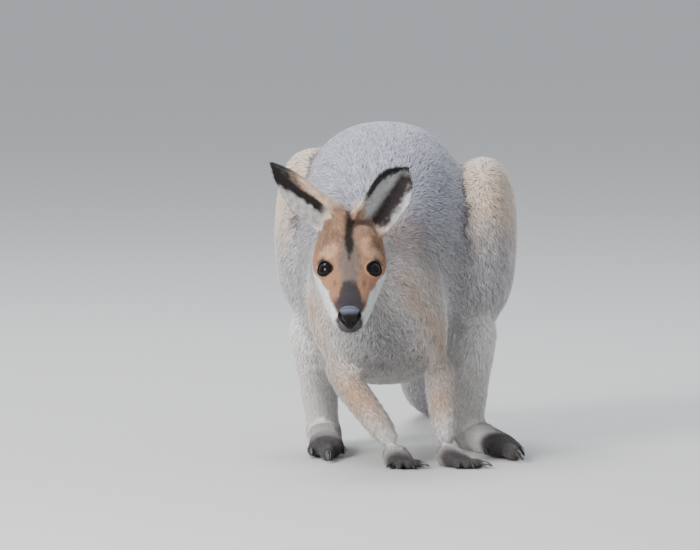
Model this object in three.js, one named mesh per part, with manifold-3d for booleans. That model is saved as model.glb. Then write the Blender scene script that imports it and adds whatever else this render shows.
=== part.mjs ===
// A life-size red-necked wallaby in its grazing crouch: hind feet flat, forepaws on the ground, head low
// and looking ahead, tail laid out behind. Millimetres, +Z up. It faces -Y and its own left side is +X.
// Every outline is that of the coat's tips. The pieces are lofts that cut each other with a thin gap.
import * as THREE from "three";
import { mergeVertices } from "three/addons/utils/BufferGeometryUtils.js";
import Module from "manifold-3d";

const wasm = await Module();
wasm.setup();

// ---- driving sizes ----
const RUMP_HEIGHT = 371; // ground to the top of the arched back
const TRUNK_HALF_WIDTH = 102;
const BELLY_HEIGHT = 68;
const SHOULDER_HEIGHT = 300;
const HIP_CENTRE = 0.5; // the hips' middle, beside the spine's line
const HIP_HALF_SPAN = 97; // from there to the middle of each haunch
const HAUNCH_HALF_WIDTH = 39;
const ANKLE_HALF_SPAN = 82;
const FOOT_LENGTH = 212; // heel to the tip of the long toe, without its claw
const HAND_LENGTH = 30; // wrist to the knuckles
const HEAD_PITCH = 38; // degrees that the muzzle points below the horizon
const EAR_LENGTH = 90;
const EAR_HALF_WIDTH = 30;
const EAR_THICKNESS = 3.4;
const EYE_RADIUS = 12;
const TAIL_LENGTH = 690;
const GAP = 0.3; // between two pieces of flesh that touch
const FLOOR = 0;

// The animal bends a little to its right, so the head is beside the middle of the hips.
const HEAD_CENTRE = [-35, -331, 212]; // between the eyes, on the head's long axis
const HEAD_YAW = 3; // degrees that the muzzle turns to the animal's left

const UP = new THREE.Vector3(0, 0, 1);
const FORWARD = new THREE.Vector3(0, -1, 0);
const LEFT = 1;
const RIGHT = -1;
const SIDES = [
  ["left", LEFT],
  ["right", RIGHT],
];

const v = (x, y, z) => new THREE.Vector3(x, y, z);
const degrees = THREE.MathUtils.degToRad;

// ---- materials ----
const finish = (hex, roughness) => new THREE.MeshStandardMaterial({ color: hex, roughness, metalness: 0 });
const MATERIALS = {
  greyFur: finish(0x8f8c8c, 0.95),
  paleFur: finish(0xb9aea2, 0.95),
  tawnyFur: finish(0xa9835f, 0.95),
  darkFur: finish(0x3a3431, 0.9),
  nose: finish(0x1c1a1e, 0.4),
  eye: finish(0x0b0908, 0.08),
  claw: finish(0x17151a, 0.35),
};

// ---- shape tools ----
// One station of a loft: a point of its middle line and the half sizes of its section there.
const station = (at, wide, above, below = above) => ({ at, wide, above, below });

// A closed body along a smooth line through its stations, from a sphere whose poles are the line's ends.
// blunt 2 gives an egg's ends, and more gives a capsule's. square 2 gives oval sections, and more squarer
// ones. taper narrows the upper half of each section. grow moves the whole surface outwards.
function loft(stations, options) {
  const { around, along, grow, frame, blunt = 5, square = 2, taper = 0, up = UP } = options;
  const line = new THREE.CatmullRomCurve3(stations.map((s) => s.at));
  const sizes = new THREE.CatmullRomCurve3(stations.map((s) => v(s.wide, s.above, s.below)));
  const geometry = new THREE.SphereGeometry(1, around, along);
  const place = geometry.attributes.position;
  for (let i = 0; i < place.count; i++) {
    const height = THREE.MathUtils.clamp(place.getY(i), -1, 1);
    const share = (1 - height) / 2;
    const ring = Math.hypot(place.getX(i), place.getZ(i));
    const [across, lift] = ring > 1e-6 ? squircle(place.getX(i), place.getZ(i), square) : [0, 0];
    const reach = Math.sqrt(1 - Math.abs(height) ** blunt);
    const size = sizes.getPoint(share).multiplyScalar(reach).addScalar(grow);
    const tangent = line.getTangent(share);
    const side = tangent.clone().cross(up).normalize();
    const top = side.clone().cross(tangent);
    const at = line.getPoint(share).addScaledVector(tangent, -height * grow);
    at.addScaledVector(side, -across * size.x * (1 - taper * lift));
    at.addScaledVector(top, lift * (lift > 0 ? size.y : size.z));
    place.setXYZ(i, at.x, at.y, at.z);
  }
  return solid(frame ? geometry.applyMatrix4(frame) : geometry);
}

// The point of a rounded unit square, of that power, in the direction of x and y.
function squircle(x, y, power) {
  const reach = (Math.abs(x) ** power + Math.abs(y) ** power) ** (-1 / power);
  return [x * reach, y * reach];
}

// A three.js geometry as a solid that can be cut and joined.
function solid(geometry) {
  geometry.deleteAttribute("normal");
  geometry.deleteAttribute("uv");
  const merged = mergeVertices(geometry, 1e-4);
  const vertProperties = new Float32Array(merged.attributes.position.array);
  const triVerts = new Uint32Array(merged.index.array);
  return new wasm.Manifold(new wasm.Mesh({ numProp: 3, vertProperties, triVerts }));
}

const join = (...solids) => solids.reduce((all, one) => all.add(one));

function ball(centre, radius, frame, around = 11, along = 7) {
  const geometry = new THREE.SphereGeometry(radius, around, along).translate(...centre);
  return solid(geometry.applyMatrix4(frame));
}

// A frame at a point, turned about the vertical by yaw and then tipped nose-down by pitch, both in degrees.
function frameAt(point, yaw, pitch = 0, roll = 0) {
  const turn = new THREE.Euler(degrees(pitch), degrees(roll), degrees(yaw), "ZXY");
  return new THREE.Matrix4().compose(v(...point), new THREE.Quaternion().setFromEuler(turn), v(1, 1, 1));
}

// ---- head ----
const HEAD = frameAt(HEAD_CENTRE, HEAD_YAW, HEAD_PITCH);
// In the head's own frame the muzzle points along -Y from the eyes at Y 0, and the forehead is up.
const SKULL = [
  station(v(0, 94, -4), 27, 22, 24),
  station(v(0, 72, -2), 35, 31, 32),
  station(v(0, 46, -1), 39, 34, 38),
  station(v(0, 20, -2), 39.5, 32, 38),
  station(v(0, 0, -3), 35.5, 29, 35),
  station(v(0, -20, -5), 30, 25, 30),
  station(v(0, -40, -6.5), 25, 21, 26),
  station(v(0, -58, -8), 19.5, 18, 21),
  station(v(0, -73, -8), 14, 15, 17),
];
const EYE_PLACE = [22, 0.5, 8.5];
const NOSE_PAD = [
  station(v(0, -60, 3), 11, 9, 11),
  station(v(0, -69, 2.5), 12.8, 11, 13),
  station(v(0, -77, 1), 9.5, 8, 10),
];

const eyeShape = (side) => (grow) =>
  ball([side * EYE_PLACE[0], EYE_PLACE[1], EYE_PLACE[2]], EYE_RADIUS + grow, HEAD);
const noseShape = (grow) => loft(NOSE_PAD, { around: 12, along: 6, blunt: 4, grow, frame: HEAD });
const headShape = (grow) =>
  loft(SKULL, { around: 18, along: 13, blunt: 7, square: 2.2, taper: 0.07, grow, frame: HEAD });

// ---- ears ----
// Half the ear's width when it is spread flat, as a share of the widest, from the base at 0 to the tip at 1.
function earWidth(share) {
  const widest = 0.45;
  if (share < widest) return 1 + 0.16 * (1 - share / widest);
  return Math.max(0.05, (1 - ((share - widest) / (1 - widest)) ** 1.9) ** 0.85);
}
// The ear is a leaf rolled into a cup: nearly a tube at the base, and opening towards the tip.
function earSpread(share) {
  return THREE.MathUtils.lerp(degrees(112), degrees(52), Math.min(1, share * 1.4));
}
// The left ear is pricked to the front. The right one is turned out to the side. sunk is the length that
// lies inside the head.
const EARS = {
  left: { root: v(19, 63, 22), axis: v(0.49, 0.575, 0.655), facing: v(0.4, -0.87, 0.3), sunk: 20 },
  right: { root: v(-13, 74, 29), axis: v(-0.84, 0.1, 0.54), facing: v(-0.42, -0.75, -0.5), sunk: 16 },
};
function earShape(name) {
  const { root, axis, facing, sunk } = EARS[name];
  const along = axis.clone().normalize();
  const front = facing.clone().addScaledVector(along, -facing.dot(along)).normalize();
  const side = front.clone().cross(along).normalize();
  const base = root.clone().applyMatrix4(HEAD).addScaledVector(along, -sunk);
  return (grow) => {
    const geometry = new THREE.BoxGeometry(2, 1, 1, 8, 8, 1);
    const place = geometry.attributes.position;
    const length = EAR_LENGTH + sunk;
    for (let i = 0; i < place.count; i++) {
      const share = place.getY(i) + 0.5;
      const spread = earSpread(share);
      const half = EAR_HALF_WIDTH * earWidth(share) + grow;
      const radius = half / spread;
      const angle = place.getX(i) * spread;
      const thickness = EAR_THICKNESS * (1 - 0.45 * share) + 2 * grow;
      const out = radius + place.getZ(i) * thickness;
      const at = base.clone();
      at.addScaledVector(along, share * length);
      at.addScaledVector(side, out * Math.sin(angle));
      at.addScaledVector(front, radius - out * Math.cos(angle) - 6 * share * share);
      place.setXYZ(i, at.x, at.y, at.z);
    }
    return solid(geometry);
  };
}

// ---- neck, trunk and tail ----
const NECK = [
  station(v(-13, -160, 208), 74, 76, 90),
  station(v(-17, -200, 214), 66, 68, 82),
  station(v(-24, -234, 219), 51, 53, 64),
  station(v(-31, -264, 228), 42, 44, 50),
  station(v(-36, -294, 238), 36, 36, 40),
];
const neckShape = (grow) => loft(NECK, { around: 14, along: 7, blunt: 6, grow });

// Rear to front. Each row is the height of the back, the height of the belly and the half width there.
const trunkStation = (x, y, back, belly, wide, middle = 0.5) => {
  const centre = THREE.MathUtils.lerp(belly, back, middle);
  return station(v(x, y, centre), wide, back - centre, centre - belly);
};
const TRUNK = [
  trunkStation(2, 140, 254, 160, 42),
  trunkStation(-2, 104, 306, 124, 70),
  trunkStation(-9, 56, 350, 92, 92),
  trunkStation(-12.5, 0, RUMP_HEIGHT, 74, TRUNK_HALF_WIDTH - 1),
  trunkStation(-12.5, -58, RUMP_HEIGHT - 6, BELLY_HEIGHT, TRUNK_HALF_WIDTH),
  trunkStation(-13, -112, 343, BELLY_HEIGHT, 95),
  trunkStation(-15, -162, SHOULDER_HEIGHT + 12, 78, 80),
  trunkStation(-18, -208, 287, 102, 62),
  trunkStation(-24, -246, 268, 142, 47),
  trunkStation(-29, -284, 254, 196, 28),
];
const trunkShape = (grow) => loft(TRUNK, { around: 20, along: 14, blunt: 8, square: 2.5, grow });

const TAIL = [
  station(v(1, 84, 240), 52, 52, 54),
  station(v(2, 114, 223), 48, 46, 48),
  station(v(3, 150, 189), 40, 39, 40),
  station(v(5, 200, 132), 33, 32, 32),
  station(v(8, 254, 77), 28, 27, 28),
  station(v(12, 314, 41), 25, 24, 27),
  station(v(18, 384, 26), 23, 22.5, 27),
  station(v(25, 480, 19), 19.5, 19, 21),
  station(v(25, 590, 15.5), 16, 15.5, 17),
  station(v(16, 690, 12), 12.5, 12, 13.5),
  station(v(2, 96 + TAIL_LENGTH, 8.5), 8.5, 8.5, 10),
];
const tailShape = (grow) => loft(TAIL, { around: 10, along: 22, blunt: 12, grow });

// ---- hind limbs ----
// The body leans a little, so that its right haunch stands higher.
const HAUNCH_LIFT = { [LEFT]: 3, [RIGHT]: 11 };
// In the haunch a section's width is across the body, and above and below lie ahead of and behind the femur.
const HAUNCH = [
  { inset: 16, y: 88, z: 284, wide: 24, above: 32, below: 42 },
  { inset: 8, y: 54, z: 270, wide: 33, above: 60, below: 70 },
  { inset: 1, y: 8, z: 248, wide: HAUNCH_HALF_WIDTH, above: 86, below: 94 },
  { inset: 0, y: -42, z: 222, wide: HAUNCH_HALF_WIDTH, above: 88, below: 92 },
  { inset: 1, y: -88, z: 198, wide: HAUNCH_HALF_WIDTH - 3, above: 66, below: 72 },
  { inset: 3, y: -128, z: 178, wide: HAUNCH_HALF_WIDTH - 11, above: 36, below: 42 },
];
const haunchShape = (side) => (grow) => {
  const sections = HAUNCH.map(({ inset, y, z, wide, above, below }) =>
    station(v(HIP_CENTRE + side * (HIP_HALF_SPAN - inset), y, z + HAUNCH_LIFT[side]), wide, above, below),
  );
  return loft(sections, { around: 16, along: 11, blunt: 4, square: 2.3, grow });
};

const HIND = {
  left: { heel: v(ANKLE_HALF_SPAN - 3, 6, 0), yaw: 18 },
  right: { heel: v(-ANKLE_HALF_SPAN, 4, 0), yaw: 5 },
};
const KNEE = [HIP_HALF_SPAN - 6, -100, 160];
const shankShape = (name, side) => (grow) => {
  const heel = HIND[name].heel;
  const knee = v(HIP_CENTRE + side * KNEE[0], KNEE[1], KNEE[2]);
  const ankle = v(heel.x, heel.y - 16, 26);
  const between = (share) => knee.clone().lerp(ankle, share);
  return loft(
    [
      station(knee, 31, 48, 46),
      station(between(0.3), 27, 42, 44),
      station(between(0.58), 23, 30, 32),
      station(between(0.86), 22, 22, 22),
      station(between(1.12), 22, 19, 18),
    ],
    { around: 12, along: 8, blunt: 6, up: FORWARD, grow },
  );
};

// In the foot's own frame the heel is at the origin on the floor and the toes point along -Y. Toe 4 is the
// long one, toe 5 is on the outer side, and toes 2 and 3 share one slim finger of skin on the inner side.
const footFrame = (name) => frameAt(HIND[name].heel.toArray(), HIND[name].yaw);
const toeTips = (side) => ({
  2: v(side * -18, 14 - FOOT_LENGTH * 0.74, 7.5),
  3: v(side * -13, 14 - FOOT_LENGTH * 0.75, 8),
  4: v(side * 1, 14 - FOOT_LENGTH, 8.5),
  5: v(side * 17.5, 14 - FOOT_LENGTH * 0.8, 8),
});
const footShape = (name, side) => (grow) => {
  const frame = footFrame(name);
  const toe = (from, to, radius) => {
    const knuckle = station(from.clone().lerp(to, 0.5), radius, radius);
    const tip = station(to, radius * 0.82, radius * 0.8, radius);
    return loft([station(from, radius, radius), knuckle, tip], { around: 7, along: 4, grow, frame });
  };
  const sole = loft(
    [
      station(v(0, 15, 19), 14, 15, 17),
      station(v(0, -6, 19), 19.5, 18, 22),
      station(v(0, -42, 16.5), 19, 16, 20),
      station(v(0, -92, 15), 18, 14, 18),
      station(v(side * 1, -138, 13), 20, 12, 15),
      station(v(side * 1, -168, 10.5), 16, 10, 12.5),
    ],
    { around: 12, along: 9, blunt: 7, grow, frame },
  );
  const tips = toeTips(side);
  return join(
    sole,
    toe(v(side * -10, -118, 10), tips[2], 4.6),
    toe(v(side * -11, -118, 10), tips[3], 4.6),
    toe(v(side * 1, -150, 10.5), tips[4], 9.8),
    toe(v(side * 14, -118, 10), tips[5], 7),
  );
};

// A claw in a limb's own frame: a tapering curve forward and down from root.
function clawShape(frame, root, yaw, length, radius) {
  const turned = frame.clone().multiply(frameAt(root.toArray(), yaw));
  const drop = root.z - 1.5;
  const curve = [
    station(v(0, 1.5, 0.5), radius, radius * 1.15),
    station(v(0, -length * 0.35, 0.3), radius * 0.85, radius * 1.0),
    station(v(0, -length * 0.72, -drop * 0.35), radius * 0.55, radius * 0.65),
    station(v(0, -length, -drop * 0.8), radius * 0.16, radius * 0.2),
  ];
  return (grow) => loft(curve, { around: 6, along: 4, blunt: 5, grow, frame: turned });
}

// ---- forelimbs ----
const FORE = {
  left: { shoulder: v(28, -192, 194), elbow: v(55, -182, 110), wrist: v(65, -238, 24), hand: 48 },
  right: { shoulder: v(-61, -192, 194), elbow: v(-62, -186, 110), wrist: v(8, -238, 23), hand: 24 },
};
const upperArmShape = (name) => (grow) => {
  const { shoulder, elbow } = FORE[name];
  return loft(
    [
      station(shoulder.clone().add(v(0, 18, 52)), 20, 30, 34),
      station(shoulder.clone().add(v(0, 4, 22)), 30, 40, 42),
      station(shoulder.clone().lerp(elbow, 0.3), 31, 38, 38),
      station(shoulder.clone().lerp(elbow, 0.7), 25, 29, 28),
      station(elbow, 18.5, 22, 20),
    ],
    { around: 10, along: 7, blunt: 5, up: FORWARD, grow },
  );
};
const forearmShape = (name) => (grow) => {
  const { elbow, wrist } = FORE[name];
  return loft(
    [
      station(elbow.clone().add(v(0, 3, 5)), 18, 19, 17),
      station(elbow.clone().lerp(wrist, 0.3), 17.5, 18, 16),
      station(elbow.clone().lerp(wrist, 0.65), 15.5, 15, 14),
      station(wrist, 14.5, 13, 12),
    ],
    { around: 10, along: 7, blunt: 6, up: FORWARD, grow },
  );
};

// In the hand's own frame the wrist is over the origin and the fingers fan out along -Y on the floor.
const handFrame = (name) => frameAt([FORE[name].wrist.x, FORE[name].wrist.y, 0], FORE[name].hand);
const FINGER_FAN = [-48, -22, 0, 20, 42];
const FINGER_LENGTHS = [12, 17, 19, 17, 13];
const fingerTip = (i) => {
  const angle = degrees(FINGER_FAN[i]);
  const reach = FINGER_LENGTHS[i] + 4;
  return v(Math.sin(angle) * (9 + reach), -HAND_LENGTH + 9 - Math.cos(angle) * (9 + reach), 5);
};
const handShape = (name) => (grow) => {
  const frame = handFrame(name);
  const palm = loft(
    [
      station(v(0, 8, 17), 12, 11, 12),
      station(v(0, -4, 12.5), 14, 12, 14),
      station(v(0, -18, 9), 16, 8.5, 10.5),
      station(v(0, -HAND_LENGTH - 2, 7), 14.5, 6, 8.5),
    ],
    { around: 10, along: 6, blunt: 5, grow, frame },
  );
  const fingers = FINGER_FAN.map((angle, i) => {
    const from = v(Math.sin(degrees(angle)) * 10, 8 - HAND_LENGTH, 7);
    const stretch = [station(from, 4.6, 4.6, 5.6), station(fingerTip(i), 3.6, 3.6, 5.6)];
    return loft(stretch, { around: 6, along: 3, grow, frame });
  });
  return join(palm, ...fingers);
};

// ---- assembly ----
// Earlier pieces keep their whole shape and later ones are cut back from them.
const plan = [];
for (const [name, side] of SIDES) plan.push([`eye_${name}`, eyeShape(side), "eye"]);
plan.push(["nose", noseShape, "nose"]);
const FINGER_CLAW = { length: 10, radius: 2.1 };
const TOE_CLAWS = {
  2: { length: 9, radius: 1.7 },
  3: { length: 9, radius: 1.7 },
  4: { length: 25, radius: 4.6 },
  5: { length: 15, radius: 3.2 },
};
for (const [name, side] of SIDES) {
  FINGER_FAN.forEach((angle, i) => {
    const claw = clawShape(handFrame(name), fingerTip(i), angle, FINGER_CLAW.length, FINGER_CLAW.radius);
    plan.push([`claw_hand_${name}_${i + 1}`, claw, "claw"]);
  });
  for (const [toe, { length, radius }] of Object.entries(TOE_CLAWS)) {
    const claw = clawShape(footFrame(name), toeTips(side)[toe], 0, length, radius);
    plan.push([`claw_foot_${name}_${toe}`, claw, "claw"]);
  }
}
plan.push(["head", headShape, "tawnyFur"]);
for (const [name] of SIDES) plan.push([`ear_${name}`, earShape(name), "tawnyFur"]);
for (const [name, side] of SIDES) {
  plan.push([`hand_${name}`, handShape(name), "darkFur"]);
  plan.push([`forearm_${name}`, forearmShape(name), "paleFur"]);
  plan.push([`upper_arm_${name}`, upperArmShape(name), "paleFur"]);
  plan.push([`foot_${name}`, footShape(name, side), "darkFur"]);
  plan.push([`thigh_${name}`, haunchShape(side), "paleFur"]);
  plan.push([`shank_${name}`, shankShape(name, side), "paleFur"]);
}
plan.push(["neck", neckShape, "greyFur"]);
plan.push(["tail", tailShape, "greyFur"]);
plan.push(["trunk", trunkShape, "greyFur"]);

const larger = (a, b) => (b.volume() > a.volume() ? b : a);
const largest = (one) => one.decompose().reduce(larger);
const ABOVE_FLOOR = [0, 0, 1];

const wallaby = new THREE.Group();
const cutters = [];
for (const [name, shape, material] of plan) {
  let flesh = shape(0).trimByPlane(ABOVE_FLOOR, FLOOR);
  for (const cutter of cutters) flesh = flesh.subtract(cutter);
  cutters.push(shape(GAP));
  wallaby.add(pieceMesh(name, largest(flesh), MATERIALS[material]));
}

// A mesh whose own origin is the middle of its piece.
function pieceMesh(name, body, material) {
  const { vertProperties, triVerts } = body.getMesh();
  const geometry = new THREE.BufferGeometry();
  geometry.setAttribute("position", new THREE.BufferAttribute(new Float32Array(vertProperties), 3));
  geometry.setIndex(new THREE.BufferAttribute(new Uint32Array(triVerts), 1));
  geometry.computeBoundingBox();
  const middle = geometry.boundingBox.getCenter(new THREE.Vector3());
  geometry.translate(-middle.x, -middle.y, -middle.z);
  geometry.computeVertexNormals();
  const mesh = new THREE.Mesh(geometry, material);
  mesh.name = name;
  mesh.position.copy(middle);
  return mesh;
}

// The origin is the point of the floor under the middle of the whole animal.
const middle = new THREE.Box3().setFromObject(wallaby).getCenter(new THREE.Vector3());
wallaby.position.set(-middle.x, -middle.y, 0);

export default wallaby;
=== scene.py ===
"""A red-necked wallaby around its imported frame: one skin with a coat of tufts, eyes, nose and claws."""

import math
from contextlib import contextmanager

import bmesh
import bpy
import numpy as np
from mathutils import Matrix, Vector, kdtree


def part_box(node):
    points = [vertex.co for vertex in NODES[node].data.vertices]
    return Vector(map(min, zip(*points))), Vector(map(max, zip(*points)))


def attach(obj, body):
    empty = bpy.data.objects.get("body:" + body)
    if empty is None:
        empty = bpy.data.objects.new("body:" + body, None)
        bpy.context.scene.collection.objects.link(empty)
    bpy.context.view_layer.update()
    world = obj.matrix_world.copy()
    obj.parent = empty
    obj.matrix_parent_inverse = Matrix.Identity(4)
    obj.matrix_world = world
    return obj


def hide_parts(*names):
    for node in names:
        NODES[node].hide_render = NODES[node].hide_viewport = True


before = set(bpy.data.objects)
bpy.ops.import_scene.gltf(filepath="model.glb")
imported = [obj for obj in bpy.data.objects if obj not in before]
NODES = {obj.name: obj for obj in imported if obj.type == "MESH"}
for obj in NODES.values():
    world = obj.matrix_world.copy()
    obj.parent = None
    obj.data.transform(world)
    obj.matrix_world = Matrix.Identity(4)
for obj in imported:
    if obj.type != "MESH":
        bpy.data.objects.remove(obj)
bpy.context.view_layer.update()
MM = 0.001
RNG = np.random.default_rng(7)
SIDES = {"left": 1, "right": -1}


def both_sides(*kinds):
    return [f"{kind}_{side}" for kind in kinds for side in SIDES]


LIMBS = both_sides("upper_arm", "forearm", "hand", "thigh", "shank", "foot")
FLESH = ["head", *both_sides("ear"), "neck", "trunk", "tail", *LIMBS]


# ---- the frame's own places ----


def points_of(name):
    """A CAD node's vertices, each once."""
    place = np.array([v.co for v in NODES[name].data.vertices])
    return np.unique(place.round(6), axis=0)


HEAD_YAW = math.radians(3)
HEAD_PITCH = math.radians(38)  # nose down
EYE_PLACE = Vector((0, 0.5, 8.5)) * MM  # the point between the eyes, in the head's own frame
EYE_CENTRES = {side: Vector(points_of(f"eye_{side}").mean(0)) for side in SIDES}
EYE_RADIUS = float(np.ptp(points_of("eye_left"), axis=0).max() / 2)
HEAD_TURN = Matrix.Rotation(HEAD_YAW, 4, "Z") @ Matrix.Rotation(HEAD_PITCH, 4, "X")
BETWEEN_EYES = (EYE_CENTRES["left"] + EYE_CENTRES["right"]) / 2
HEAD = Matrix.Translation(BETWEEN_EYES - HEAD_TURN.to_3x3() @ EYE_PLACE) @ HEAD_TURN


def head_local(place):
    """Points of the row's frame in the head's own frame, in millimetres: nose towards -Y, brow up."""
    back = np.array(HEAD.inverted())
    return (place @ back[:3, :3].T + back[:3, 3]) / MM


def head_world(x, y, z):
    """A point of the head's own frame, given in millimetres, in the row's frame."""
    return HEAD @ (Vector((x, y, z)) * MM)


def from_eye(place, side):
    """The way from an eye's centre to each point."""
    return place - np.array(EYE_CENTRES[side])


def direction(turn, rise):
    """The way that lies a turn from -Y towards +X, and a rise above the level."""
    return Vector((math.sin(turn) * math.cos(rise), -math.cos(turn) * math.cos(rise), math.sin(rise)))


# ---- mesh tools ----


def new_object(name, mesh):
    made = bpy.data.objects.new(name, mesh)
    bpy.context.scene.collection.objects.link(made)
    return made


def read(items, key, width, kind=np.float32):
    """A value of each item of a mesh, as rows of that many numbers."""
    values = np.empty(len(items) * width, kind)
    items.foreach_get(key, values)
    return values.reshape(-1, width)


def write(items, key, values, kind=np.float32):
    items.foreach_set(key, np.asarray(values).astype(kind).ravel())


def places(mesh):
    return read(mesh.vertices, "co", 3).astype(float)


def set_places(mesh, co):
    write(mesh.vertices, "co", co)
    mesh.update()


def normals(mesh):
    return read(mesh.vertex_normals, "vector", 3).astype(float)


def with_modifier(mesh, kind, weights=None, **settings):
    """A mesh as one modifier leaves it. weights give its vertex group, in steps."""
    name = mesh.name
    holder = new_object("holder", mesh)
    modifier = holder.modifiers.new("step", kind)
    for key, value in settings.items():
        setattr(modifier, key, value)
    if weights is not None:
        group = holder.vertex_groups.new(name="group")
        steps = np.round(weights * WEIGHT_STEPS).astype(int)
        for step in range(1, WEIGHT_STEPS + 1):
            group.add(np.flatnonzero(steps == step).tolist(), step / WEIGHT_STEPS, "REPLACE")
        modifier.vertex_group = "group"
    made = bpy.data.meshes.new_from_object(holder.evaluated_get(bpy.context.evaluated_depsgraph_get()))
    bpy.data.objects.remove(holder)
    bpy.data.meshes.remove(mesh)
    made.name = name
    return made


@contextmanager
def editing(mesh):
    """The mesh as a bmesh, which is written back at the end."""
    body = bmesh.new()
    body.from_mesh(mesh)
    body.verts.ensure_lookup_table()
    yield body
    body.to_mesh(mesh)
    body.free()


def mesh_of(body, name):
    """A bmesh as a smooth mesh whose faces point out."""
    body.normal_update()
    bmesh.ops.recalc_face_normals(body, faces=body.faces)
    mesh = bpy.data.meshes.new(name)
    body.to_mesh(mesh)
    body.free()
    mesh.shade_smooth()
    return mesh


def add_node(body, name, move):
    """Adds a CAD node to a bmesh, with each corner moved by what move gives for it."""
    part = bmesh.new()
    part.from_mesh(NODES[name].data)
    bmesh.ops.remove_doubles(part, verts=part.verts, dist=1e-6)
    part.normal_update()
    steps = [move(vertex) for vertex in part.verts]
    for vertex, step in zip(part.verts, steps):
        vertex.co += step
    piece = bpy.data.meshes.new("piece")
    part.to_mesh(piece)
    part.free()
    body.from_mesh(piece)
    bpy.data.meshes.remove(piece)


def triangles(mesh):
    """The vertex numbers of each triangle's corners."""
    mesh.calc_loop_triangles()
    return read(mesh.loop_triangles, "vertices", 3, np.int32)


def triangle_areas(place, corners):
    a, b, c = (place[corners[:, i]] for i in range(3))
    return np.linalg.norm(np.cross(b - a, c - a), axis=1) / 2


def random_shares(rng, count):
    """Even random shares of a triangle's second and third corners."""
    u, v = rng.random((2, count))
    flip = u + v > 1
    return np.where(flip, 1 - u, u), np.where(flip, 1 - v, v)


class Net:
    """The neighbours of each vertex of a mesh, for spreading values over its surface."""

    def __init__(self, mesh):
        edges = read(mesh.edges, "vertices", 2, np.int32)
        ends = np.concatenate([edges, edges[:, ::-1]])
        ends = ends[np.argsort(ends[:, 0], kind="stable")]
        self.starts = np.searchsorted(ends[:, 0], np.arange(len(mesh.vertices)))
        self.others = ends[:, 1]
        self.count = np.bincount(ends[:, 0], minlength=len(mesh.vertices))[:, None]

    def spread(self, values, rounds):
        """The values, moved in each round a share of the way to the mean of their neighbours."""
        flat = values.reshape(len(values), -1)
        for _ in range(rounds):
            near = np.add.reduceat(flat[self.others], self.starts, axis=0) / self.count
            flat = flat + SPREAD_SHARE * (near - flat)
        return flat.reshape(values.shape)


SPREAD_SHARE = 0.6  # the way that a value moves in a round
WEIGHT_STEPS = 20


def unit(vectors):
    return vectors / np.maximum(np.linalg.norm(vectors, axis=-1, keepdims=True), 1e-9)


def ramp(low, high, value):
    """0 up to low and 1 from high on, with a soft slope between them. low may be the greater one."""
    share = np.clip((value - low) / (high - low), 0, 1)
    return share * share * (3 - 2 * share)


def bell(offset, width):
    """1 in the middle, and falling to nothing over about two widths on both sides."""
    return np.exp(-((offset / width) ** 2))


# ---- which part of the body a point belongs to ----
SAMPLES_PER_MM2 = 0.04
FEWEST_SAMPLES = 50


def part_kind(name):
    return name.removesuffix("_left").removesuffix("_right")


def side_of(name):
    return name.rsplit("_")[-1]


def surface_samples(name):
    """Random points on a CAD node's surface."""
    mesh = NODES[name].data
    place, corners = places(mesh), triangles(mesh)
    area = triangle_areas(place, corners)
    count = int(area.sum() / MM**2 * SAMPLES_PER_MM2) + FEWEST_SAMPLES
    pick = RNG.choice(len(area), count, p=area / area.sum())
    a, b, c = (place[corners[pick, i]] for i in range(3))
    u, v = (share[:, None] for share in random_shares(RNG, count))
    return a + u * (b - a) + v * (c - a)


def tree_of(clouds):
    """A search tree over clouds of points, where a point's number is that of its cloud."""
    tree = kdtree.KDTree(sum(map(len, clouds)))
    for index, cloud in enumerate(clouds):
        for point in cloud:
            tree.insert(point, index)
    tree.balance()
    return tree


PART_TREE = tree_of([surface_samples(name) for name in FLESH])
CLAW_TREE = tree_of([points_of(name) for name in NODES if name.startswith("claw_")])


def nearest_parts(place):
    """Each point's nearest part, as its index in FLESH."""
    return np.array([PART_TREE.find(p)[1] for p in place])


def claw_distance(place):
    """Each point's distance to the nearest claw. The toes keep their full shape there."""
    return np.array([CLAW_TREE.find(p)[2] for p in place])


# ---- skin ----
UNDER_SKIN = ["nose", "eye_left", "eye_right"]  # the skin runs on under these, and they stand in it
CUT_CLOSE = 0.5 * MM  # each piece grows by this, which closes the thin cuts between them
SKIN_VOXEL = 1.6 * MM
SOLE_GAP = 0.2 * MM  # the skin of the soles stays this far above the floor, in the hair
SMOOTH_ROUNDS = 160
SMOOTH_STEP = 0.5  # the way to the mean of its neighbours that a vertex moves in a round
DECIMATE_ROUGH = 0.8 * MM
SKIN_KEPT = 0.2  # share of the skin's faces that the decimation keeps, nearly all on the head
# How much of the full smoothing each part gets, and the depth of its coat in millimetres.
PART_SMOOTH = {"head": 0.13, "ear": 0.02, "hand": 0.03, "foot": 0.1, "forearm": 0.12, "shank": 0.4}
COAT_DEPTH = {"head": 1.5, "ear": 0.2, "hand": 0.9, "foot": 1.2, "forearm": 1.8, "shank": 3.0}
COAT_DEPTH |= {"tail": 3.2, "upper_arm": 3.8, "neck": 4.2, "thigh": 4.2, "trunk": 4.4}
EAR_ROOT_RADIUS = 14.5 * MM
EAR_ROOT_DEPTH = 0.55  # how far its middle lies down the ear's base, as a share of its radius
EAR_ROOT_SMOOTH = 0.3
EAR_INNER_ROOT = {"left": (11, 69, 37), "right": (-14, 69, 36)}  # in the head's own frame
EAR_INNER_RADIUS = 9.5 * MM
ELBOW_SMOOTH = 0.8
FOLD_KEPT = 0.8


def by_part(table, usual=1.0):
    """The table's value for each part of FLESH, where left and right share one entry."""
    return np.array([table.get(part_kind(name), usual) for name in FLESH])


def ear_axis(side):
    """The middle of an ear's base, its direction to the tip, and its length."""
    ear = points_of(f"ear_{side}")
    centre = np.array(BETWEEN_EYES)
    away = np.linalg.norm(ear - centre, axis=1)
    base = ear[away < np.quantile(away, 0.12)].mean(0)
    tip = ear[away > np.quantile(away, 0.95)].mean(0)
    return base, unit(tip - base), np.linalg.norm(tip - base)


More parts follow.
